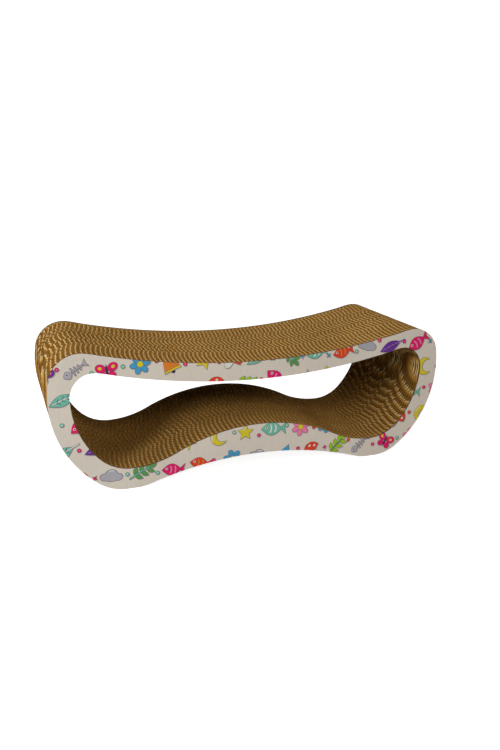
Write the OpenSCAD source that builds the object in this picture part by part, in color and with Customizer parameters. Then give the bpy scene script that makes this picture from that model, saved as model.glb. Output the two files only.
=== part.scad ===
// Cardboard cat scratcher lounge: a closed loop of die-cut corrugated sheets,
// stood on edge and glued side by side, with a printed sheet on each face.
// X runs along the length, Y from the front face to the rear one, Z up.
// The origin lies on the floor, in the middle of the footprint.

/* [Overall] */
// Length over both ends
overall_length = 650; // [560:1:800]
// Height at the two shoulders
overall_height = 220; // [195:1:230]

/* [Sheets] */
// Number of corrugated sheets between the two printed ones
sheet_count = 36; // [12:1:56]
// Thickness of one corrugated sheet
sheet_thickness = 6.05; // [4:0.05:7]
// Thickness of one printed sheet
cover_thickness = 3.6; // [2.5:0.05:5]
// Thickness of one paper liner
liner_thickness = 0.35; // [0.2:0.05:0.8]
// How far the fluted layer stands back from the cut edge of its liners
flute_setback = 0.6; // [0.2:0.05:1.5]

/* [Outer outline] */
// How far the top edge dips at mid length, below the shoulders
saddle_dip = 33; // [20:0.5:45]
// Height of the arch under the middle
arch_height = 32; // [15:1:50]
// How far below the shoulders each end reaches furthest out
end_drop = 68; // [65:1:85]
// Distance from each end to the centre of its foot's outer curve
foot_inset = 112; // [105:1:130]
// Radius of each shoulder
shoulder_radius = 47; // [35:1:60]
// Radius of each foot, on both sides of its flat
foot_radius = 73; // [40:1:75]
// Length of the flat under each foot
foot_flat = 12; // [4:1:40]

/* [Opening] */
// Wall of the loop at each end
end_wall = 31.5; // [20:0.5:45]
// Wall of the loop over each foot
foot_wall = 33; // [20:0.5:45]
// Wall of the loop at each shoulder
shoulder_wall = 31; // [20:0.5:36]
// Wall of the loop at the middle of the top
saddle_wall = 29.5; // [20:0.5:45]
// Wall of the loop at the middle of the bottom, over the arch
arch_wall = 50; // [30:0.5:70]
// Distance from each end of the opening to its lowest point
hollow_inset = 89; // [75:1:130]
// Distance from each end of the opening to its highest point
crown_inset = 34; // [33:1:60]
// Radius of the opening's lower corners
hollow_radius = 70; // [40:1:85]
// Radius of the opening's upper corners
crown_radius = 31; // [15:1:32]
// Radius where the opening's lower edge turns up towards its hump
valley_radius = 154; // [80:1:220]
// Radius where the opening's upper edge turns over to each corner
brow_radius = 60; // [30:1:90]

/* [Hidden] */
$fa = 0.75;
$fs = 0.1;
stack_depth = 2 * cover_thickness + sheet_count * sheet_thickness;

function sheet_name(i) = str("corrugated_sheet_", i < 10 ? "0" : "", i);

// Both outlines are chains of circles that run into each other. Where two of
// them meet, they overlap by this much, so that their rims cross cleanly.
bite = 0.04;

// How far a trimmed region reaches, and how many degrees it laps a wider arc
reach = 2 * overall_length;
lap = 8;

function bearing(from, to) = atan2(to.y - from.y, to.x - from.x);
function heading(angle) = [cos(angle), sin(angle)];

// Radius of a circle centred on x = 0 that meets a corner circle from outside:
// x is the corner's distance, rise how far its centre lies past the apex.
function hollow_radius_at(x, rise, corner) =
    (x * x + rise * rise - pow(corner - bite, 2)) / (2 * (corner - bite - rise));

// Radius of a circle that ends a turn, around a corner circle inside it:
// width and height are the turn's end as seen from the corner's centre.
function turn_radius(width, height, corner) =
    (width * width + height * height - pow(corner - bite, 2)) / (2 * (width - corner + bite));

// Sum of the two radii of an S-shaped stretch, level at both of its ends
function wave_radii(width, rise) =
    (width * width + rise * rise - bite * bite) / (2 * (rise - bite));

// Outer outline: ends, shoulders and feet bulge, saddle and arch are hollow
saddle_height = overall_height - saddle_dip;
end_height = overall_height - end_drop;
foot_centre = [overall_length / 2 - foot_inset, foot_radius - bite];
foot_inner_centre = foot_centre - [foot_flat, 0];
end_radius = turn_radius(foot_inset, end_height - foot_centre.y, foot_radius);
end_centre = [overall_length / 2 - end_radius, end_height];
shoulder_rise = overall_height - shoulder_radius - end_height;
shoulder_centre = end_centre
    + [sqrt(pow(end_radius - shoulder_radius + bite, 2) - pow(shoulder_rise, 2)), shoulder_rise];
saddle_radius = hollow_radius_at(shoulder_centre.x, saddle_height - shoulder_centre.y,
                                 shoulder_radius);
saddle_centre = [0, saddle_height + saddle_radius];
arch_radius = hollow_radius_at(foot_inner_centre.x, foot_inner_centre.y - arch_height,
                               foot_radius);
arch_centre = [0, arch_height - arch_radius];

// Opening: corners bulge outwards, ceiling and hump reach into it
opening_end = overall_length / 2 - end_wall;
crown_top = overall_height - shoulder_wall;
ceiling_height = saddle_height - saddle_wall;
hump_height = arch_height + arch_wall;
hollow_centre = [opening_end - hollow_inset, foot_wall + hollow_radius - bite];
lower_end_radius = turn_radius(hollow_inset, end_height - hollow_centre.y, hollow_radius);
lower_end_centre = [opening_end - lower_end_radius, end_height];
crown_centre = [opening_end - crown_inset, crown_top - crown_radius + bite];
upper_end_radius = turn_radius(crown_inset + bite, crown_centre.y - end_height, crown_radius);
upper_end_centre = [opening_end + bite - upper_end_radius, end_height];
brow_centre = [crown_centre.x, crown_top - brow_radius];
ceiling_radius = wave_radii(crown_centre.x, crown_top - ceiling_height) - brow_radius;
ceiling_centre = [0, ceiling_height + ceiling_radius];
valley_centre = [hollow_centre.x, foot_wall + valley_radius];
hump_radius = wave_radii(hollow_centre.x, hump_height - foot_wall) - valley_radius;
hump_centre = [0, hump_height - hump_radius];

module disc(centre, radius) {
    translate(centre) circle(r = radius);
}

// What lies outside a circle, between two bearings from its centre
module trim_round(centre, radius, from, to) {
    difference() {
        polygon([centre, centre + reach * heading(from),
                 centre + reach * heading((from + to) / 2), centre + reach * heading(to)]);
        disc(centre, radius);
    }
}

// The children on the right, and their mirror image on the left
module both_ends() {
    children();
    mirror([1, 0]) children();
}

// Loop without its opening, its edge drawn in by an inset but for the feet's
// flats, which every layer of board stands on
module outer_outline(inset) {
    past_saddle = bearing(shoulder_centre, saddle_centre);
    past_shoulder = bearing(end_centre, shoulder_centre);
    past_foot = bearing(end_centre, foot_centre);
    past_arch = bearing(foot_inner_centre, arch_centre);
    difference() {
        translate([-overall_length, 0]) square([2 * overall_length, 2 * overall_height]);
        disc(saddle_centre, saddle_radius + inset);
        disc(arch_centre, arch_radius + inset);
        both_ends() {
            trim_round(shoulder_centre, shoulder_radius - inset, past_saddle, past_shoulder);
            trim_round(end_centre, end_radius - inset, past_shoulder + lap, past_foot - lap);
            trim_round(foot_centre, foot_radius - inset, past_foot, -90);
            trim_round(foot_inner_centre, foot_radius - inset, -90, past_arch);
        }
    }
}

// Opening through the loop, its edge moved outwards by an inset
module opening_outline(inset) {
    past_ceiling = bearing(brow_centre, ceiling_centre);
    past_crown = bearing(upper_end_centre, crown_centre);
    past_hollow = bearing(lower_end_centre, hollow_centre);
    past_hump = bearing(valley_centre, hump_centre);
    difference() {
        translate([-overall_length, 0]) square([2 * overall_length, overall_height]);
        disc(ceiling_centre, ceiling_radius - inset);
        disc(hump_centre, hump_radius - inset);
        both_ends() {
            trim_round(brow_centre, brow_radius + inset, past_ceiling, 90 - lap);
            trim_round(crown_centre, crown_radius + inset, 90, past_crown);
            trim_round(upper_end_centre, upper_end_radius + inset, past_crown + lap, 0);
            trim_round(lower_end_centre, lower_end_radius + inset, lap, past_hollow - lap);
            trim_round(hollow_centre, hollow_radius + inset, past_hollow, -90);
            trim_round(valley_centre, valley_radius + inset, lap - 90, past_hump);
        }
    }
}

// Closed loop of board, its cut edges set back by an inset
module loop_outline(inset) {
    difference() {
        outer_outline(inset);
        opening_outline(inset);
    }
}

// Upright plate of the loop, from a front plane at y towards the rear
module upright_plate(y, thickness, inset) {
    translate([0, y + thickness, 0]) rotate([90, 0, 0])
        linear_extrude(thickness) loop_outline(inset);
}

// One sheet of board: two liners cut to the outline and, between them, the
// fluted layer, whose cut edge stands a little back from theirs
module laminated_sheet(y, thickness) {
    upright_plate(y, liner_thickness, 0);
    upright_plate(y + liner_thickness, thickness - 2 * liner_thickness, flute_setback);
    upright_plate(y + thickness - liner_thickness, liner_thickness, 0);
}

module front_printed_cover() {
    color("gainsboro") laminated_sheet(-stack_depth / 2, cover_thickness);
}

module corrugated_sheet(i) {
    front = cover_thickness - stack_depth / 2 + (i - 1) * sheet_thickness;
    color("burlywood") laminated_sheet(front, sheet_thickness);
}

module rear_printed_cover() {
    color("gainsboro") laminated_sheet(stack_depth / 2 - cover_thickness, cover_thickness);
}

front_printed_cover();
for (i = [1:sheet_count]) {
    corrugated_sheet(i);
}
rear_printed_cover();
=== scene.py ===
"""Cardboard cat scratcher: a closed loop of upright corrugated sheets with a printed sheet on each face.

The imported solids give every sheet's outline, place and thickness. This file gives each sheet its open
flutes, its paper and, on the two outer faces, a small scattered print.
"""

import math
import random

import bpy
import numpy as np
from bpy.props import FloatProperty, FloatVectorProperty, IntProperty, PointerProperty
from mathutils import Matrix, Vector, geometry


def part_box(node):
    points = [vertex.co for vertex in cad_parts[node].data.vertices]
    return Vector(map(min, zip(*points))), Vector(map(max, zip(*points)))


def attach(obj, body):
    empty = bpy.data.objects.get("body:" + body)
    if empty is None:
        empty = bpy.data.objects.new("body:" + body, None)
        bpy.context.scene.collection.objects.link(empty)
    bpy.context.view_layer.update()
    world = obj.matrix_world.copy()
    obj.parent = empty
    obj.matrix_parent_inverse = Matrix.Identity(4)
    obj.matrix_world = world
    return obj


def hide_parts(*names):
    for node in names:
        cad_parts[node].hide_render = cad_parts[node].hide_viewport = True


bl_info = {
    "name": "Cardboard cat scratcher",
    "version": (1, 0, 0),
    "blender": (4, 5, 0),
    "location": "View3D > Sidebar > Scratcher",
    "description": "Gives the packed sheets of a cat scratcher their flutes, paper and print",
    "category": "Object",
}

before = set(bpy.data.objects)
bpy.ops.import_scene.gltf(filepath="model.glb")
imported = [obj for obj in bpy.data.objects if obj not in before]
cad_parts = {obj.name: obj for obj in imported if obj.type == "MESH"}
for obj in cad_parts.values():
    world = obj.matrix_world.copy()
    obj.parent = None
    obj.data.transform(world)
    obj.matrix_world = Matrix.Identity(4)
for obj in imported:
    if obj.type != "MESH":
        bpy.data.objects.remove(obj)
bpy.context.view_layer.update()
MM = 0.001
BODY = "root"
FRONT_COVER = "front_printed_cover"
REAR_COVER = "rear_printed_cover"
SHEETS = sorted(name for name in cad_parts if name.startswith("corrugated_sheet_"))

# Distance between the points of the smoothed outline
RIM_SPACING = 2 * MM

# Seeds of the random draws. The inner sheets count up from theirs
PHASE_SEED = 7
SHEET_SEED = 100
FRONT_SEED = 11
REAR_SEED = 23

# Material slots that every sheet has. The third holds the pale edge paper, which only the steep left
# sides of the flutes get, as a painted highlight of their lit flanks
LINER, MEDIUM, HIGHLIGHT_EDGE = range(3)

# Heights at which an upright paper is cut, from the lowest edge up
BOTTOM, FLOOR, CEILING, TOP = range(4)


def srgb(red, green, blue):
    """A colour as Blender's shaders take it, from its 0 to 255 screen values."""
    def linear(value):
        share = value / 255
        return share / 12.92 if share <= 0.04045 else ((share + 0.055) / 1.055) ** 2.4
    return (linear(red), linear(green), linear(blue))


def paint(name, description, red, green, blue):
    """A colour property with its default."""
    return FloatVectorProperty(name=name, description=description, subtype="COLOR", size=3,
                               min=0, max=1, default=srgb(red, green, blue))


def length(name, description, millimetres):
    """A length property with its default, given in millimetres and kept in metres."""
    return FloatProperty(name=name, description=description, unit="LENGTH", subtype="DISTANCE",
                         min=0, precision=5, default=millimetres * MM)


def watts(name, description, default):
    """A property for a light's power, with its default in watts."""
    return FloatProperty(name=name, description=description, subtype="POWER", min=0, default=default)


class BoardSettings(bpy.types.PropertyGroup):
    """Sizes of the corrugated board."""
    sheet_pitch: length("Sheet flute pitch", "Distance between flutes in the inner sheets", 7.25)
    cover_pitch: length("Cover flute pitch", "Distance between flutes in the printed sheets", 6.0)
    liner: length("Liner", "Thickness of a flat paper liner", 0.3)
    medium: length("Medium", "Thickness of the fluted paper", 0.4)
    seam: length("Seam", "Half of the dark seam between two glued sheets", 0.03)
    unevenness: length("Unevenness", "How far a sheet's cut edge may lie inside the outline", 0.22)
    # This thickness sets the width of the printed liner's dark edge, a painted shadow line for the
    # shaded flute gaps behind the printed face
    print_liner: length("Printed liner", "Thickness of the printed liner, whose edge is dark", 1.2)
    cover_setback: length("Cover setback", "How far the covers' flutes stand back from the edge", 1.0)
    rim_step: length("Outline step", "Distance between points along a liner's outline", 4.0)
    crest_samples: IntProperty(name="Points per flute", description="Steps along each flute's wave",
                               min=6, max=32, default=14)
    lean: FloatProperty(name="Lean", description="How much steeper the left sides of the flutes are",
                        subtype="FACTOR", min=0, max=0.9, default=0.5)
    burr: FloatProperty(name="Burr", description="How much thicker the die leaves the left sides",
                        subtype="FACTOR", min=0, max=2, default=0.8)
    # Sides steeper than this take the pale edge paper on their cut edges: a painted highlight where the
    # light from the left falls on the flutes
    highlight_share: FloatProperty(name="Torn edge", description="How steep a side is where its edge is torn",
                              subtype="FACTOR", min=0, max=1, default=0.5)


class PaperColours(bpy.types.PropertyGroup):
    """Colours of the papers."""
    liner: paint("Liner", "Brown paper on the flat sides of a sheet", 138, 101, 46)
    medium: paint("Medium", "Brown paper of the flutes", 184, 138, 62)
    # Paler cut paper, put only on the cut edges of the flutes' steep left sides: partly the paper's own
    # paler edge, partly a painted highlight of the flanks that the light from the left falls on
    cut_edge: paint("Cut edge", "Paper where the die has cut it", 248, 228, 176)
    paper: paint("Printed paper", "Pale ground of the printed faces", 222, 215, 204)
    shade: paint("Print shadow", "Soft shadow beside each motif", 172, 163, 160)
    ink: paint("Ink", "Dark outlines of the print", 72, 58, 78)
    white: paint("White", "White in the print", 226, 226, 220)
    magenta: paint("Magenta", "Magenta in the print", 226, 40, 112)
    pink: paint("Pink", "Pink in the print", 240, 132, 178)
    purple: paint("Purple", "Purple in the print", 112, 58, 160)
    lilac: paint("Lilac", "Lilac in the print", 160, 118, 200)
    teal: paint("Teal", "Teal in the print", 116, 194, 174)
    green: paint("Green", "Green in the print", 96, 160, 92)
    lime: paint("Lime", "Lime in the print", 160, 200, 48)
    sky: paint("Sky blue", "Sky blue in the print", 76, 162, 208)
    yellow: paint("Yellow", "Yellow in the print", 222, 206, 52)
    orange: paint("Orange", "Orange in the print", 222, 132, 52)
    red: paint("Red", "Red in the print", 226, 74, 50)
    grey: paint("Grey", "Grey in the print", 176, 176, 186)


class StageSettings(bpy.types.PropertyGroup):
    """Camera, floor and lights."""
    lens: FloatProperty(name="Lens", description="Focal length on a sensor 36 mm wide",
                        subtype="DISTANCE_CAMERA", min=10, default=34.966)
    yaw: FloatProperty(name="Yaw", description="How far the camera looks to the right of +Y",
                       subtype="ANGLE", default=0.3552)
    pitch: FloatProperty(name="Pitch", description="How far the camera looks down",
                         subtype="ANGLE", default=0.2911)
    roll: FloatProperty(name="Roll", description="How far the camera is turned about its view",
                        subtype="ANGLE", default=0.016)
    place: FloatVectorProperty(name="Camera place", description="Where the camera stands",
                               subtype="TRANSLATION", unit="LENGTH", size=3,
                               default=(-0.39616, -1.13536, 0.49227))
    key_power: watts("Key light", "Power of the high light on the left", 13)
    low_power: watts("Low light", "Power of the low light on the left", 15.5)
    fill_power: watts("Fill light", "Power of the wide light in front", 20)
    side_power: watts("Side light", "Power of the light past the left end", 12)
    back_power: watts("Back light", "Power of the high light past the left end", 17.5)
    rear_power: watts("Rear light", "Power of the wide light behind the right end", 4.5)
    sky: FloatProperty(name="Sky", description="Strength of the even light from all round",
                       min=0, default=0.003)
    floor_radius: FloatProperty(name="Floor radius", description="How far the round floor reaches",
                                subtype="DISTANCE", unit="LENGTH", min=1, default=2)
    glow: FloatProperty(name="Floor glow", description="Brightness of the floor where no light falls",
                        subtype="FACTOR", min=0, max=1, default=0.93)


def board():
    """The sizes of the board."""
    return bpy.context.scene.scratcher_board


def colours():
    """The colours of the papers."""
    return bpy.context.scene.scratcher_colours


# Outline of the sheets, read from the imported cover


def anticlockwise(loop):
    """The same loop, turned so that its inside lies to the left."""
    x, z = loop[:, 0], loop[:, 1]
    area = np.sum(x * np.roll(z, -1) - np.roll(x, -1) * z)
    return loop if area > 0 else loop[::-1]


def chained(near):
    """Closed loops of points, from the two neighbours that each point has."""
    loops = []
    while near:
        start = min(near)
        loop, last, here = [start], None, start
        while True:
            step = [point for point in near[here] if point != last]
            last, here = here, step[0]
            if here == start:
                break
            loop.append(here)
        for point in loop:
            del near[point]
        loops.append(np.array(loop))
    return loops


def rim_loops(node):
    """The outline and the opening of a sheet, as closed loops of (x, z) points on its front face."""
    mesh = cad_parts[node].data
    mesh.calc_loop_triangles()
    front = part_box(node)[0].y
    tiny = 1e-5
    key = [(round(v.co.x, 6), round(v.co.z, 6)) if abs(v.co.y - front) < tiny else None
           for v in mesh.vertices]
    count = {}
    for triangle in mesh.loop_triangles:
        corners = [key[i] for i in triangle.vertices]
        if None in corners or len(set(corners)) < 3:
            continue
        for a, b in zip(corners, corners[1:] + corners[:1]):
            edge = (a, b) if a < b else (b, a)
            count[edge] = count.get(edge, 0) + 1
    near = {}
    for (a, b), times in count.items():
        if times == 1:
            near.setdefault(a, []).append(b)
            near.setdefault(b, []).append(a)
    loops = sorted(chained(near), key=lambda loop: -np.ptp(loop[:, 0]))
    if len(loops) != 2:
        raise RuntimeError(f"{node} has {len(loops)} loops on its front face, not 2")
    return [anticlockwise(loop) for loop in loops]


def smooth(loop, step):
    """The loop with new points on a smooth curve through its own, a step apart at most.

    None of them lies outside the loop's box."""
    out = []
    count = len(loop)
    for i in range(count):
        p0, p1, p2, p3 = (loop[(i + k) % count] for k in (-1, 0, 1, 2))
        span = np.linalg.norm(p2 - p1)
        pieces = max(1, math.ceil(span / step))
        before, after = np.linalg.norm(p1 - p0), np.linalg.norm(p3 - p2)
        lead = span * ((p1 - p0) / before * span + (p2 - p1) / span * before) / (before + span)
        tail = span * ((p2 - p1) / span * after + (p3 - p2) / after * span) / (after + span)
        for k in range(pieces):
            t = k / pieces
            out.append((2 * t**3 - 3 * t**2 + 1) * p1 + (t**3 - 2 * t**2 + t) * lead
                       + (3 * t**2 - 2 * t**3) * p2 + (t**3 - t**2) * tail)
    return np.clip(out, loop.min(axis=0), loop.max(axis=0))


def drawn_in(loop, distance):
    """An anticlockwise loop moved inwards by a distance, or outwards by a negative one."""
    ahead = np.roll(loop, -1, axis=0) - np.roll(loop, 1, axis=0)
    ahead /= np.linalg.norm(ahead, axis=1)[:, None]
    return loop + distance * np.stack([-ahead[:, 1], ahead[:, 0]], axis=1)


class Rim:
    """The cut edge of one sheet: its two loops, and their heights along the length."""

    def __init__(self, outer, inner):
        self.outer, self.inner = outer, inner
        self.low, self.high = self.halves(outer)
        self.floor, self.ceiling = self.halves(inner)
        self.end = outer[:, 0].min(), outer[:, 0].max()
        self.tip = inner[:, 0].min(), inner[:, 0].max()

    @staticmethod
    def halves(loop):
        """The lower and the upper run of an anticlockwise loop, each from left to right."""
        left, right = loop[:, 0].argmin(), loop[:, 0].argmax()
        turned_loop = np.roll(loop, -left, axis=0)
        split = (right - left) % len(loop)
        lower = turned_loop[:split + 1]
        upper = np.vstack([turned_loop[split:], turned_loop[:1]])[::-1]
        return lower, upper

    def heights(self, x):
        """Lowest edge, opening's floor, opening's ceiling and top edge at each x."""
        return [np.interp(x, *run.T) for run in (self.low, self.floor, self.ceiling, self.high)]

    def has_opening(self, x):
        """Whether the opening reaches over each x."""
        return (x > self.tip[0]) & (x < self.tip[1])

    def thinned(self):
        """The two loops with as many points as a liner needs."""
        skip = max(1, round(board().rim_step / RIM_SPACING))
        return self.outer[::skip], self.inner[::skip]


OUTER, INNER = (smooth(loop, RIM_SPACING) for loop in rim_loops(FRONT_COVER))


def inset_rim(inset, shift=(0, 0)):
    """The rim of a sheet whose cut edge stands back from the outline, and which lies a little aside."""
    return Rim(drawn_in(OUTER, inset) + shift, drawn_in(INNER, -inset) + shift)


# Meshes


def triangulated(points, loops, merge):
    """Triangles that fill loops of flat points, divided along every loop.

    Points closer than merge become one. Gives the points, the triangles, the numbers of the old
    points that each point stands for, and the numbers of the loops around each triangle."""
    inside_loops = 1
    found = geometry.delaunay_2d_cdt([Vector(p) for p in points], [], loops, inside_loops, merge)
    return found[0], found[2], found[3], found[5]


def between(flat, front, rear):
    """Flat (x, z) points on the front plane, and the same again on the rear one."""
    return np.vstack([np.insert(flat, 1, front, axis=1), np.insert(flat, 1, rear, axis=1)])


class Parts:
    """Points and faces of one piece, gathered from its layers."""

    def __init__(self):
        self.points, self.faces, self.slots, self.count = [], [], [], 0

    def add(self, points, faces, slots):
        """Adds a layer, with each face's material slot."""
        self.points.append(np.asarray(points, float))
        self.faces += [tuple(i + self.count for i in face) for face in faces]
        self.slots += list(slots)
        self.count += len(points)

    def piece(self, node, materials, finish):
        """Puts the layers, as one object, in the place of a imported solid."""
        mesh = bpy.data.meshes.new(node + "_board")
        mesh.from_pydata(np.vstack(self.points).tolist(), [], self.faces)
        for material in materials:
            mesh.materials.append(material)
        mesh.polygons.foreach_set("material_index", self.slots)
        mesh.update()
        piece = bpy.data.objects.new(node + "_board", mesh)
        bpy.context.scene.collection.objects.link(piece)
        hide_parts(node)
        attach(piece, BODY)


def flat_layer(parts, rim, front, rear):
    """Adds a flat liner between two planes."""
    outer, inner = rim.thinned()
    flat = np.vstack([outer, inner])
    count = len(flat)
    loops = [list(range(len(outer))), list(range(len(outer), count))]
    _, triangles, origins, around = triangulated(flat, loops, merge=1e-9)
    faces = [tuple(origins[i][0] for i in face) for face, ids in zip(triangles, around)
             if 0 in ids and 1 not in ids]
    faces += [tuple(i + count for i in reversed(face)) for face in faces]
    for loop, turn in zip(loops, (1, -1)):
        for a, b in zip(loop, loop[1:] + loop[:1]):
            faces.append((a, a + count, b + count, b)[::turn])
    parts.add(between(flat, front, rear), faces, [LINER] * len(faces))


def wave_plan(start, stop, pitch, phase, front, rear, rng):
    """The fluted paper seen from above.

    Gives its two faces from left to right, and where its cut edge takes the pale paper as a painted
    highlight of the lit left sides."""
    sizes = board()
    samples, paper, lean = sizes.crest_samples, sizes.medium, sizes.lean
    step = pitch / samples
    x = np.arange(math.ceil(start / step), math.floor(stop / step) + 1) * step
    x = np.concatenate([[start], x[(x > start + step / 4) & (x < stop - step / 4)], [stop]])
    drift_share, long_wave, short_wave = 0.035, 110 * MM, 43 * MM
    slow = rng.uniform(0, 2 * math.pi, 2)
    drift = drift_share * pitch * (np.sin(x / long_wave + slow[0]) + np.sin(x / short_wave + slow[1]))
    turn = 2 * math.pi * (x - phase + drift) / pitch
    angle = turn - lean * np.sin(turn)
    swing = (rear - front - paper) / 2
    middle = (front + rear) / 2 + swing * np.sin(angle)
    slope = swing * np.cos(angle) * (1 - lean * np.cos(turn)) * 2 * math.pi / pitch
    size = np.sqrt(1 + slope**2)
    flank = np.clip(-np.cos(angle), 0, 1)
    half = paper / 2 * (1 + sizes.burr * flank**2)
    across = np.stack([-slope / size, 1 / size], axis=1) * half[:, None]
    line = np.stack([x, middle], axis=1)
    return line - across, line + across, flank > sizes.highlight_share


def ribbon(rim, near, far, highlighted):
    """Points, faces and slots of the fluted paper, upright between the rim's edges.

    near and far are its two faces seen from above, and the third argument says where its cut edge takes
    the pale paper, a painted highlight of the lit left sides."""
    columns = len(near)
    is_open = rim.has_opening(near[:, 0])
    points, faces, slots = [], [], []
    for plan in (near, far):
        for height in rim.heights(np.clip(plan[:, 0], *rim.end)):
            points.append(np.stack([plan[:, 0], plan[:, 1], height], axis=1))
    kept = np.ones((2, 4, columns), bool)
    kept[:, CEILING, ~is_open] = False
    number = (np.cumsum(kept) - 1).reshape(kept.shape).tolist()
    is_open = is_open.tolist()

    def at(side, level, column):
        if level == CEILING and not is_open[column]:
            level = FLOOR
        return number[side][level][column]

    def put(slot, *corners):
        corners = tuple(dict.fromkeys(corners))
        if len(corners) > 2:
            faces.append(corners)
            slots.append(slot)

    for j in range(columns - 1):
        k = j + 1
        for low, high in ((BOTTOM, FLOOR), (CEILING, TOP)):
            put(MEDIUM, at(0, low, j), at(0, low, k), at(0, high, k), at(0, high, j))
            put(MEDIUM, at(1, low, k), at(1, low, j), at(1, high, j), at(1, high, k))
        # Pale edge paper where a side is steep: a painted highlight of the lit left flanks
        edge = HIGHLIGHT_EDGE if highlighted[j] or highlighted[k] else MEDIUM
        put(edge, at(0, BOTTOM, k), at(0, BOTTOM, j), at(1, BOTTOM, j), at(1, BOTTOM, k))
        put(edge, at(0, TOP, j), at(0, TOP, k), at(1, TOP, k), at(1, TOP, j))
        if is_open[j] or is_open[k]:
            put(edge, at(0, FLOOR, j), at(0, FLOOR, k), at(1, FLOOR, k), at(1, FLOOR, j))
            put(edge, at(0, CEILING, k), at(0, CEILING, j), at(1, CEILING, j), at(1, CEILING, k))
    for j, turn in ((0, 1), (columns - 1, -1)):
        for low, high in ((BOTTOM, FLOOR), (CEILING, TOP)):
            quad = (at(0, low, j), at(0, high, j), at(1, high, j), at(1, low, j))
            put(MEDIUM, *quad[::turn])
    return np.vstack(points)[kept.ravel()], faces, slots


def fluted_layer(parts, rim, front, rear, pitch, phase, rng):
    """Adds the fluted paper between two planes."""
    margin = 0.2 * MM
    start, stop = rim.end[0] + margin, rim.end[1] - margin
    near, far, highlighted = wave_plan(start, stop, pitch, phase, front, rear, rng)
    parts.add(*ribbon(rim, near, far, highlighted))


# Flute lines run on from sheet to sheet in blocks, which were glued up one after another:
# sheets in the block, the step at its start, how far each sheet's flutes lie right of the
# last one's, and how much that grows from sheet to sheet, all three as shares of the pitch
BLOCKS = (
    (11, 0.0, 0.0, 0.026),
    (5, 0.5, -0.02, 0.0),
    (2, 0.4, 0.25, 0.0),
    (6, 0.5, -0.04, 0.03),
    (3, 0.3, 0.3, 0.0),
    (8, 0.45, 0.26, -0.035),
    (6, 0.5, 0.3, -0.03),
)


def flute_phases(pitch):
    """Where the flutes of each sheet start, from the front one to the rear one."""
    rng = random.Random(PHASE_SEED)
    slip = 0.05
    phases, here = [], 0.0
    for sheets, jump, drift, growth in BLOCKS:
        here += jump * pitch
        for number in range(sheets):
            phases.append(here + rng.uniform(-slip, slip) * pitch)
            here += (drift + growth * number) * pitch
    return phases


def paper_material(name, colour, grain, rough, relief, mottle, fleck=0.0):
    """Paper with cloudy tone, warm and cool patches, fibres, flecks and a fine relief.

    grain, mottle and fleck are shares by which its tone, its hue and its specks differ, rough is its
    roughness, and relief is the height of its fibres in millimetres."""
    found = bpy.data.materials.get(name)
    if found:
        return found
    material = bpy.data.materials.new(name)
    material.use_nodes = True
    tree = material.node_tree
    nodes, links = tree.nodes, tree.links
    nodes.clear()
    output = nodes.new("ShaderNodeOutputMaterial")
    shader = nodes.new("ShaderNodeBsdfPrincipled")
    links.new(shader.outputs["BSDF"], output.inputs["Surface"])
    place = nodes.new("ShaderNodeTexCoord").outputs["Object"]

    def noise(scale, stretch=(1, 1, 1), detail=3):
        mapping = nodes.new("ShaderNodeMapping")
        mapping.inputs["Scale"].default_value = stretch
        links.new(place, mapping.inputs["Vector"])
        node = nodes.new("ShaderNodeTexNoise")
        node.inputs["Scale"].default_value = scale
        node.inputs["Detail"].default_value = detail
        links.new(mapping.outputs["Vector"], node.inputs["Vector"])
        return node.outputs["Fac"]

    def spread(value, low, high, start=0.3, stop=0.7):
        node = nodes.new("ShaderNodeMapRange")
        node.inputs["From Min"].default_value = start
        node.inputs["From Max"].default_value = stop
        node.inputs["To Min"].default_value = low
        node.inputs["To Max"].default_value = high
        links.new(value, node.inputs["Value"])
        return node.outputs["Result"]

    def times(a, b):
        node = nodes.new("ShaderNodeMath")
        node.operation = "MULTIPLY"
        links.new(a, node.inputs[0])
        links.new(b, node.inputs[1])
        return node.outputs["Value"]

    clouds = spread(noise(scale=9, detail=4), 1 - grain, 1 + grain)
    fibres = spread(noise(scale=650, stretch=(1, 1, 0.12), detail=2), 1 - grain, 1 + grain)
    tone = times(clouds, fibres)
    if fleck:
        specks = noise(scale=1500, stretch=(1, 1, 0.4), detail=1)
        tone = times(tone, spread(specks, 1, 1 - fleck, start=0.66, stop=0.72))
    patches = nodes.new("ShaderNodeValToRGB")
    cool, warm = patches.color_ramp.elements
    cool.position, warm.position = 0.38, 0.62
    cool.color = (colour[0] * (1 - mottle), colour[1], colour[2] * (1 + mottle), 1)
    warm.color = (colour[0] * (1 + mottle), colour[1], colour[2] * (1 - mottle), 1)
    links.new(noise(scale=220), patches.inputs["Fac"])
    scale = nodes.new("ShaderNodeVectorMath")
    scale.operation = "SCALE"
    links.new(patches.outputs["Color"], scale.inputs[0])
    links.new(tone, scale.inputs["Scale"])
    links.new(scale.outputs["Vector"], shader.inputs["Base Color"])
    uneven = 0.06
    rough_spots = spread(noise(scale=300), rough - uneven, min(1, rough + uneven))
    links.new(rough_spots, shader.inputs["Roughness"])
    shader.inputs["Specular IOR Level"].default_value = 0.03
    bump = nodes.new("ShaderNodeBump")
    bump.inputs["Strength"].default_value = 0.5
    bump.inputs["Distance"].default_value = relief * MM
    links.new(noise(scale=1800, stretch=(1, 1, 0.3)), bump.inputs["Height"])
    links.new(bump.outputs["Normal"], shader.inputs["Normal"])
    return material


def kraft_materials():
    """The three brown papers of a sheet, in the order of their slots."""
    look = colours()
    return [
        paper_material("kraft_liner", look.liner,
                       grain=0.08, rough=0.88, relief=0.05, mottle=0.03, fleck=0.18),
        paper_material("kraft_medium", look.medium,
                       grain=0.1, rough=0.9, relief=0.06, mottle=0.03, fleck=0.2),
        # Pale paper for the cut edges of the lit flute sides: a painted highlight
        paper_material("kraft_cut_edge", look.cut_edge,
                       grain=0.14, rough=0.95, relief=0.12, mottle=0.03, fleck=0.1),
    ]


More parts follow.
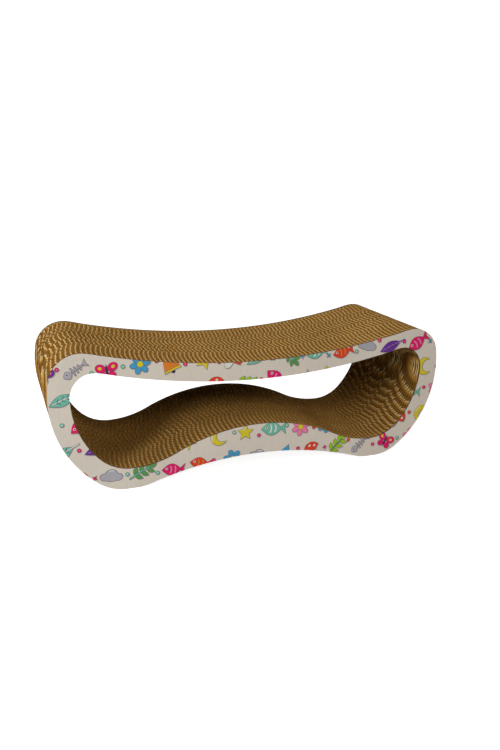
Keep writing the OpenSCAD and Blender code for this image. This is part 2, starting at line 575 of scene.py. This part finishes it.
class SCRATCHER_OT_corrugated_sheets(bpy.types.Operator):
    """Builds the inner sheets: two liners each, with the fluted paper between them"""
    bl_idname = "scratcher.corrugated_sheets"
    bl_label = "Corrugated sheets"

    def execute(self, context):
        sizes = board()
        uneven = sizes.unevenness
        phases = flute_phases(sizes.sheet_pitch)
        if len(phases) < len(SHEETS):
            raise RuntimeError("the blocks of flute lines cover too few sheets")
        for number, (node, phase) in enumerate(zip(SHEETS, phases)):
            rng = np.random.default_rng(SHEET_SEED + number)
            low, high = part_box(node)
            front, rear = low.y + sizes.seam, high.y - sizes.seam
            rim = inset_rim(uneven, rng.uniform(-uneven, uneven, 2))
            parts = Parts()
            flat_layer(parts, rim, front, front + sizes.liner)
            flat_layer(parts, rim, rear - sizes.liner, rear)
            fluted_layer(parts, rim, front + sizes.liner, rear - sizes.liner,
                         sizes.sheet_pitch, phase, rng)
            parts.piece(node, kraft_materials(), "kraft_board")
        return {"FINISHED"}


# Print: flat motifs scattered over the pale paper. Each motif is drawn around the origin, in
# millimetres, as shapes in drawing order: colour, outline, and whether ink and a shadow border it.


def turned(points, angle):
    """Points turned about the origin."""
    c, s = math.cos(angle), math.sin(angle)
    return points @ np.array([[c, s], [-s, c]])


def oval(x, z, width, height, lean=0.0, count=22):
    """Points of an oval of a given width and height, leaning by an angle."""
    t = np.linspace(0, 2 * math.pi, count, endpoint=False)
    points = np.stack([np.cos(t) * width / 2, np.sin(t) * height / 2], axis=1)
    return turned(points, lean) + (x, z)


def blade(start, end, width, count=9):
    """A pointed leaf shape between two points, bounded by two arcs."""
    start, end = np.array(start, float), np.array(end, float)
    t = np.linspace(0, 1, count)[:, None]
    along = end - start
    across = np.array([-along[1], along[0]]) / np.linalg.norm(along) * width / 2
    bulge = np.sin(math.pi * t)
    upper = start + along * t + across * bulge
    lower = start + along * t - across * bulge
    return np.vstack([upper, lower[-2:0:-1]])


def crown_of_points(tips, outer, inner):
    """A star with a number of tips, one of them straight up."""
    t = np.arange(2 * tips) * math.pi / tips + math.pi / 2
    radius = np.where(np.arange(2 * tips) % 2 == 0, outer, inner)
    return np.stack([np.cos(t) * radius, np.sin(t) * radius], axis=1)


def stroke(points, width):
    """A line of even width along a few points."""
    points = np.array(points, float)
    ahead = np.gradient(points, axis=0)
    ahead /= np.linalg.norm(ahead, axis=1)[:, None]
    across = np.stack([-ahead[:, 1], ahead[:, 0]], axis=1) * width / 2
    return np.vstack([points + across, (points - across)[::-1]])


def arc(x, z, radius, start, stop, count=9):
    """Points along an arc, between two angles in degrees."""
    t = np.radians(np.linspace(start, stop, count))
    return np.stack([x + np.cos(t) * radius, z + np.sin(t) * radius], axis=1)


def swollen(points, distance):
    """A closed shape with its edge moved outwards, no corner by more than twice that."""
    points = anticlockwise(points)
    before = points - np.roll(points, 1, axis=0)
    after = np.roll(points, -1, axis=0) - points
    before /= np.linalg.norm(before, axis=1)[:, None]
    after /= np.linalg.norm(after, axis=1)[:, None]
    normal = np.stack([before[:, 1] + after[:, 1], -before[:, 0] - after[:, 0]], axis=1)
    size = np.linalg.norm(normal, axis=1)[:, None]
    normal /= np.maximum(size, 1e-9)
    stretch = np.minimum(2.0, 1 / np.maximum(0.3, size / 2))
    return points + normal * stretch * distance


def fish(body, stripe):
    return [(body, np.array([(7, 0), (14, 6.5), (12.2, 0), (14, -6.5)]), True),
            (body, blade((-13, 0), (9.5, 0), 14), True),
            (stripe, stroke(arc(-9, 0, 7, -38, 38), 1.6), False),
            (stripe, stroke(arc(-4, 0, 7, -34, 34), 1.6), False),
            ("white", oval(-7.5, 1.2, 3, 3, count=12), False),
            ("ink", oval(-7.5, 1.2, 1.7, 1.7, count=10), False)]


def bones(bone):
    ribs = [(bone, stroke([(x, -h), (x + 1, 0), (x, h)], 1.3), True)
            for x, h in ((-3, 4.6), (1, 3.8), (5, 3))]
    return ribs + [(bone, stroke([(-8, 0), (0, 0.3), (10, 0)], 1.5), True),
                   (bone, np.array([(9, 0), (14, 4.5), (13, 0), (14, -4.5)]), True),
                   (bone, blade((-14, 0), (-4, 0), 8.5), True),
                   ("ink", oval(-9.6, 0.9, 1.4, 1.4, count=10), False)]


def feather(vane, quill):
    barbs = [("ink", stroke([(x, 0), (x + 3, side * 3.2)], 0.5), False)
             for x in (-7, -2, 3) for side in (1, -1)]
    return [(vane, blade((-15, 0), (11, 0), 11), True),
            (quill, stroke([(-12, 0), (0, 0.5), (17, -0.5)], 1.1), True)] + barbs


def daisy(petal, centre):
    petals = [(petal, turned(oval(6.2, 0, 8, 5.6), i * math.pi / 3), True) for i in range(6)]
    return petals + [(centre, oval(0, 0, 6, 6), True)]


def star(body, shine):
    return [(body, crown_of_points(5, 10, 4.6), True),
            (shine, stroke([(-3, 3), (-0.5, 4.6), (0.6, 6.2)], 1.1), False)]


def moon(body, shine):
    outer, inner = arc(0, 0, 10, 50, 310, 22), arc(4.2, 0, 7.6, -80, 80, 14)
    inner[:, 0] = 8.4 - inner[:, 0]
    return [(body, np.vstack([outer, inner]), True),
            (shine, stroke(arc(0, 0, 8.3, 150, 200), 1.0), False)]


def drop(body, shine):
    return [(body, np.vstack([arc(0, -2.5, 5.4, 150, 390, 16), [(0, 8.5)]]), True),
            (shine, stroke(arc(0, -2.5, 3.4, 180, 250), 1.0), False)]


def mushroom(cap, stem):
    return [(stem, np.vstack([arc(0, -8, 3.6, 180, 360, 9), [(3, 1), (-3, 1)]]), True),
            (cap, np.vstack([arc(0, 0, 10, 0, 180, 15), [(-4, -2), (4, -2)]]), True),
            ("white", oval(-4.6, 3.6, 3.4, 3), False),
            ("white", oval(1.4, 6.4, 3.2, 2.6), False),
            ("white", oval(5.6, 2.4, 2.8, 2.6), False)]


def cloud(body, shine):
    puffs = [oval(-7, 0, 10, 8), oval(7, 0, 10, 8), oval(0, 3, 13, 11), oval(0, -1.4, 17, 7)]
    inked = [("ink", swollen(puff, 0.5), False) for puff in puffs]
    return inked + [(body, puff, False) for puff in puffs] + [
        (shine, stroke(arc(0, 3, 4.4, 60, 130), 1.1), False)]


def sprig(leaf, stem):
    leaves = [(leaf, blade((x, 0), (x + 5.5, side * 7), 4.4), True)
              for x in (-8, -1.5, 5) for side in (1, -1)]
    return leaves + [(stem, stroke([(-14, -1), (0, 0.3), (10, 0)], 1.2), True),
                     (leaf, blade((8.5, 0), (16, 0), 4.6), True)]


def bell(body, band):
    return [("ink", oval(0, -8.4, 4, 4), False),
            (body, np.vstack([arc(0, 1, 7, 0, 180, 13), [(-9, -6.5), (9, -6.5)]]), True),
            (band, np.array([(-8.7, -5), (8.7, -5), (9.3, -7), (-9.3, -7)]), True),
            (band, oval(0, 9.6, 3.4, 3.4), True)]


def butterfly(wing, spot):
    wings = [(wing, oval(side * 6, 3.6, 10.5, 8.4, side * 0.5), True) for side in (1, -1)]
    wings += [(wing, oval(side * 4.6, -4.2, 7.6, 6.6, -side * 0.5), True) for side in (1, -1)]
    spots = [(spot, oval(side * 6.6, 3.9, 4, 3.2, side * 0.5), False) for side in (1, -1)]
    return wings + spots + [("ink", blade((0, -8), (0, 8), 2.8), False)]


def sparkle(body):
    return [(body, crown_of_points(4, 4.2, 1.5), True)]


def ring(body, middle):
    return [(body, oval(0, 0, 5.8, 5.8, count=14), True), (middle, oval(0, 0, 2, 2, count=10), False)]


# Each motif with its colours, in the order in which they are scattered
LARGE_MOTIFS = (
    (fish, "magenta", "pink"), (sprig, "green", "teal"), (feather, "purple", "lilac"),
    (star, "yellow", "white"), (mushroom, "red", "white"), (cloud, "grey", "white"),
    (fish, "teal", "white"), (daisy, "pink", "yellow"), (moon, "yellow", "white"),
    (butterfly, "purple", "pink"), (bones, "grey"), (drop, "sky", "white"),
    (bell, "orange", "yellow"), (feather, "teal", "white"), (daisy, "sky", "yellow"),
    (fish, "red", "orange"), (sprig, "lime", "green"), (butterfly, "magenta", "yellow"),
)
SMALL_MOTIFS = (
    (ring, "magenta", "pink"), (sparkle, "magenta"), (ring, "magenta", "pink"),
    (ring, "red", "orange"), (sparkle, "sky"), (ring, "teal", "white"),
)
PRINT_COLOURS = ("paper", "shade", "ink", "white", "magenta", "pink", "purple", "lilac", "teal",
                 "green", "lime", "sky", "yellow", "orange", "red", "grey")

# Layout of the print: rows and columns of large motifs, the distances between them along and up,
# the middle row's height, how far a motif may lie aside and turn, its least and greatest scale,
# and how far a small motif may lie aside along and up
ROWS = range(-3, 4)
COLUMNS = range(-7, 8)
MOTIF_STEP = (47 * MM, 42 * MM)
MIDDLE_ROW = 110 * MM
MOTIF_ASIDE = 4 * MM
MOTIF_TURN = 0.9
MOTIF_SCALES = (1.35, 1.6)
SMALL_ASIDE = (2 * MM, 8 * MM)


def motif_shapes(motif, place, angle, size):
    """One motif as flat shapes in drawing order: soft shadow, inked outlines and colours."""
    draw, *tints = motif
    outline, shadow = 0.45 * MM, 0.7 * MM
    cast = np.array((0.9, -1.0)) * MM
    shapes = [(colour, turned(points * size, angle) + place, inked)
              for colour, points, inked in draw(*tints)]
    out = [("shade", swollen(points, shadow) + cast) for colour, points, inked in shapes if inked]
    for colour, points, inked in shapes:
        if inked:
            out.append(("ink", swollen(points, outline)))
        out.append((colour, points))
    return out


def scatter(seed):
    """All shapes of one printed face, row by row, the small motifs between the large ones."""
    rng = random.Random(seed)
    along, up = MOTIF_STEP
    small_along, small_up = SMALL_ASIDE
    shapes, order = [], []
    for row in ROWS:
        for column in COLUMNS:
            if not order:
                order = list(LARGE_MOTIFS)
                rng.shuffle(order)
            x = (column + (0.5 if row % 2 else 0)) * along + rng.uniform(-MOTIF_ASIDE, MOTIF_ASIDE)
            z = MIDDLE_ROW + row * up + rng.uniform(-MOTIF_ASIDE, MOTIF_ASIDE)
            angle = rng.uniform(-MOTIF_TURN, MOTIF_TURN)
            shapes += motif_shapes(order.pop(), (x, z), angle, rng.uniform(*MOTIF_SCALES) * MM)
            small = rng.choice(SMALL_MOTIFS)
            spot = (x + along / 2 + rng.uniform(-small_along, small_along),
                    z + rng.uniform(-small_up, small_up))
            shapes += motif_shapes(small, spot, rng.uniform(0, 1), MM)
    return shapes


def on_sheet(rim, points):
    """Whether any of a shape's points lies on the sheet."""
    x, z = points.T
    low, floor, ceiling, high = rim.heights(x)
    here = (x > rim.end[0]) & (x < rim.end[1]) & (z > low) & (z < high)
    through = rim.has_opening(x) & (z > floor) & (z < ceiling)
    return bool(np.any(here & ~through))


def printed_layer(parts, rim, face, back, shapes, slot_of):
    """Adds the printed liner, its face divided along every edge of the print."""
    shapes = [(colour, points) for colour, points in shapes if on_sheet(rim, points)]
    points, areas = [], []
    for outline in [*rim.thinned(), *(anticlockwise(shape) for colour, shape in shapes)]:
        areas.append(list(range(len(points), len(points) + len(outline))))
        points += list(outline)
    found, triangles, _, around = triangulated(points, areas, merge=1e-7)
    faces, slots, place = [], [], {}
    for corners, ids in zip(triangles, around):
        if 0 not in ids or 1 in ids:
            continue
        top = max(ids)
        faces.append(tuple(place.setdefault(i, len(place)) for i in corners))
        slots.append(slot_of["paper" if top == 0 else shapes[top - 2][0]])
    count = len(place)
    rear = [tuple(i + count for i in reversed(corners)) for corners in faces]
    edges = dict.fromkeys(edge for corners in faces for edge in zip(corners, corners[1:] + corners[:1]))
    sides = [(b, a, a + count, b + count) for a, b in edges if (b, a) not in edges]
    if face > back:
        faces, rear, sides = ([corners[::-1] for corners in group] for group in (faces, rear, sides))
    # The printed liner's cut sides take the dark ink: painted shade along the printed face's edge, where
    # the flute gaps behind it lie in shadow
    slots += [LINER] * len(rear) + [slot_of["ink"]] * len(sides)
    parts.add(between(np.array(found)[list(place)], face, back), faces + rear + sides, slots)


def print_materials():
    """One paper material for each colour of the print."""
    look = colours()
    return [paper_material("printed_" + name, getattr(look, name),
                           grain=0.035, rough=0.6, relief=0.03, mottle=0.025)
            for name in PRINT_COLOURS]


def printed_cover(node, outward, seed):
    """One printed sheet. outward is -1 for the front face and 1 for the rear one."""
    sizes = board()
    low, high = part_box(node)
    face, back = (low.y, high.y) if outward < 0 else (high.y, low.y)
    print_back, liner_front = face - outward * sizes.print_liner, back + outward * sizes.liner
    rim, sunk = Rim(OUTER, INNER), inset_rim(sizes.cover_setback)
    parts = Parts()
    flat_layer(parts, rim, *sorted((back, liner_front)))
    fluted_layer(parts, sunk, *sorted((print_back, liner_front)),
                 sizes.cover_pitch, 0, np.random.default_rng(seed))
    flip = np.array((-outward, 1))
    shapes = [(colour, points * flip) for colour, points in scatter(seed)]
    kraft = kraft_materials()
    slot_of = {name: len(kraft) + i for i, name in enumerate(PRINT_COLOURS)}
    printed_layer(parts, rim, face, print_back, shapes, slot_of)
    parts.piece(node, kraft + print_materials(), "printed_board")


class SCRATCHER_OT_front_cover(bpy.types.Operator):
    """Builds the printed sheet on the front face"""
    bl_idname = "scratcher.front_cover"
    bl_label = "Front printed cover"

    def execute(self, context):
        printed_cover(FRONT_COVER, outward=-1, seed=FRONT_SEED)
        return {"FINISHED"}


class SCRATCHER_OT_rear_cover(bpy.types.Operator):
    """Builds the printed sheet on the rear face"""
    bl_idname = "scratcher.rear_cover"
    bl_label = "Rear printed cover"

    def execute(self, context):
        printed_cover(REAR_COVER, outward=1, seed=REAR_SEED)
        return {"FINISHED"}


# Stage


WHITE_LIGHT = (1, 1, 1)
WARM_LIGHT = (1, 0.9, 0.78)


def area_light(name, place, size, power, colour=WHITE_LIGHT):
    """A round light that shines on the middle of the scratcher."""
    middle = Vector((0, 0, 0.1))
    light = bpy.data.lights.new(name, "AREA")
    light.shape = "DISK"
    light.size = size
    light.energy = power
    light.color = colour
    lamp = bpy.data.objects.new(name, light)
    lamp.location = place
    lamp.rotation_euler = (middle - Vector(place)).to_track_quat("-Z", "Y").to_euler()
    bpy.context.scene.collection.objects.link(lamp)


def seen_directly(tree):
    """1 where the camera, a gloss or a glass sees the surface, 0 where it only gives light."""
    nodes, links = tree.nodes, tree.links
    path = nodes.new("ShaderNodeLightPath")
    seen = path.outputs["Is Camera Ray"]
    for ray in ("Is Glossy Ray", "Is Transmission Ray"):
        either = nodes.new("ShaderNodeMath")
        either.operation = "MAXIMUM"
        links.new(seen, either.inputs[0])
        links.new(path.outputs[ray], either.inputs[1])
        seen = either.outputs["Value"]
    return seen


def floor_material(glow):
    """Pale floor, white to the camera where no shadow falls."""
    grey = 0.6
    material = bpy.data.materials.new("stage_floor")
    material.use_nodes = True
    tree = material.node_tree
    nodes, links = tree.nodes, tree.links
    nodes.clear()
    output = nodes.new("ShaderNodeOutputMaterial")
    matt = nodes.new("ShaderNodeBsdfDiffuse")
    matt.inputs["Color"].default_value = (grey, grey, grey, 1)
    lift = nodes.new("ShaderNodeMath")
    lift.operation = "MULTIPLY"
    lift.inputs[1].default_value = glow
    shine = nodes.new("ShaderNodeEmission")
    both = nodes.new("ShaderNodeAddShader")
    links.new(seen_directly(tree), lift.inputs[0])
    links.new(lift.outputs["Value"], shine.inputs["Strength"])
    links.new(matt.outputs["BSDF"], both.inputs[0])
    links.new(shine.outputs["Emission"], both.inputs[1])
    links.new(both.outputs["Shader"], output.inputs["Surface"])
    return material


def round_floor(radius, glow):
    """A round floor under the scratcher."""
    corners = 64
    angles = [2 * math.pi * k / corners for k in range(corners)]
    edge = [(radius * math.cos(angle), radius * math.sin(angle), 0) for angle in angles]
    mesh = bpy.data.meshes.new("stage_floor")
    mesh.from_pydata(edge, [], [tuple(range(corners))])
    mesh.materials.append(floor_material(glow))
    floor = bpy.data.objects.new("stage_floor", mesh)
    bpy.context.scene.collection.objects.link(floor)


def white_world(strength):
    """Even light from all round, white where the camera, a gloss or a glass sees it."""
    world = bpy.data.worlds.new("stage_world")
    bpy.context.scene.world = world
    world.use_nodes = True
    tree = world.node_tree
    nodes, links = tree.nodes, tree.links
    nodes.clear()
    output = nodes.new("ShaderNodeOutputWorld")
    light = nodes.new("ShaderNodeBackground")
    light.inputs["Color"].default_value = (*WARM_LIGHT, 1)
    light.inputs["Strength"].default_value = strength
    white = nodes.new("ShaderNodeBackground")
    white.inputs["Color"].default_value = (1, 1, 1, 1)
    choose = nodes.new("ShaderNodeMixShader")
    links.new(seen_directly(tree), choose.inputs["Fac"])
    links.new(light.outputs["Background"], choose.inputs[1])
    links.new(white.outputs["Background"], choose.inputs[2])
    links.new(choose.outputs["Shader"], output.inputs["Surface"])


def place_camera(settings):
    """The camera, at the photograph's place and angle."""
    data = bpy.data.cameras.new("camera")
    data.lens = settings.lens
    data.clip_start = 0.05
    data.clip_end = 50
    yaw, pitch, roll = settings.yaw, settings.pitch, settings.roll
    ahead = Vector((math.sin(yaw) * math.cos(pitch), math.cos(yaw) * math.cos(pitch),
                    -math.sin(pitch)))
    right = Vector((math.cos(yaw), -math.sin(yaw), 0))
    up = right.cross(ahead)
    side = math.cos(roll) * right + math.sin(roll) * up
    top = math.cos(roll) * up - math.sin(roll) * right
    turn = Matrix((side, top, -ahead)).transposed().to_4x4()
    camera = bpy.data.objects.new("camera", data)
    camera.matrix_world = Matrix.Translation(Vector(settings.place)) @ turn
    scene = bpy.context.scene
    scene.collection.objects.link(camera)
    scene.camera = camera


class SCRATCHER_OT_stage(bpy.types.Operator):
    """Builds the floor, the lights, the sky and the camera"""
    bl_idname = "scratcher.stage"
    bl_label = "Stage"

    def execute(self, context):
        settings = context.scene.scratcher_stage
        context.scene.view_settings.view_transform = "Standard"
        round_floor(settings.floor_radius, settings.glow)
        white_world(settings.sky)
        area_light("key_light", (-1.6, -1.1, 1.8), size=0.6, power=settings.key_power)
        area_light("low_light", (-1.9, -1.2, 1.1), size=0.5, power=settings.low_power)
        area_light("fill_light", (0.3, -2.4, 1.6), size=1.0, power=settings.fill_power,
                   colour=WARM_LIGHT)
        area_light("side_light", (-1.9, 0, 0.8), size=0.5, power=settings.side_power)
        area_light("back_light", (-1.3, -0.2, 1.9), size=0.6, power=settings.back_power)
        area_light("rear_light", (1.7, 1.9, 1.3), size=1.2, power=settings.rear_power,
                   colour=WARM_LIGHT)
        place_camera(settings)
        return {"FINISHED"}


class SCRATCHER_PT_panel(bpy.types.Panel):
    """Lists the steps that build the scratcher"""
    bl_idname = "SCRATCHER_PT_panel"
    bl_label = "Cat scratcher"
    bl_space_type = "VIEW_3D"
    bl_region_type = "UI"
    bl_category = "Scratcher"

    def draw(self, context):
        for step in STEPS:
            self.layout.operator(step.bl_idname)


STEPS = (SCRATCHER_OT_stage, SCRATCHER_OT_corrugated_sheets, SCRATCHER_OT_front_cover,
         SCRATCHER_OT_rear_cover)
SETTINGS = (BoardSettings, PaperColours, StageSettings)


def register():
    for group in SETTINGS + STEPS + (SCRATCHER_PT_panel,):
        bpy.utils.register_class(group)
    bpy.types.Scene.scratcher_board = PointerProperty(type=BoardSettings)
    bpy.types.Scene.scratcher_colours = PointerProperty(type=PaperColours)
    bpy.types.Scene.scratcher_stage = PointerProperty(type=StageSettings)


def unregister():
    del bpy.types.Scene.scratcher_stage
    del bpy.types.Scene.scratcher_colours
    del bpy.types.Scene.scratcher_board
    for group in reversed(SETTINGS + STEPS + (SCRATCHER_PT_panel,)):
        bpy.utils.unregister_class(group)


def main():
    register()
    bpy.ops.scratcher.stage()
    bpy.ops.scratcher.corrugated_sheets()
    bpy.ops.scratcher.front_cover()
    bpy.ops.scratcher.rear_cover()


if __name__ == "__main__":
    main()
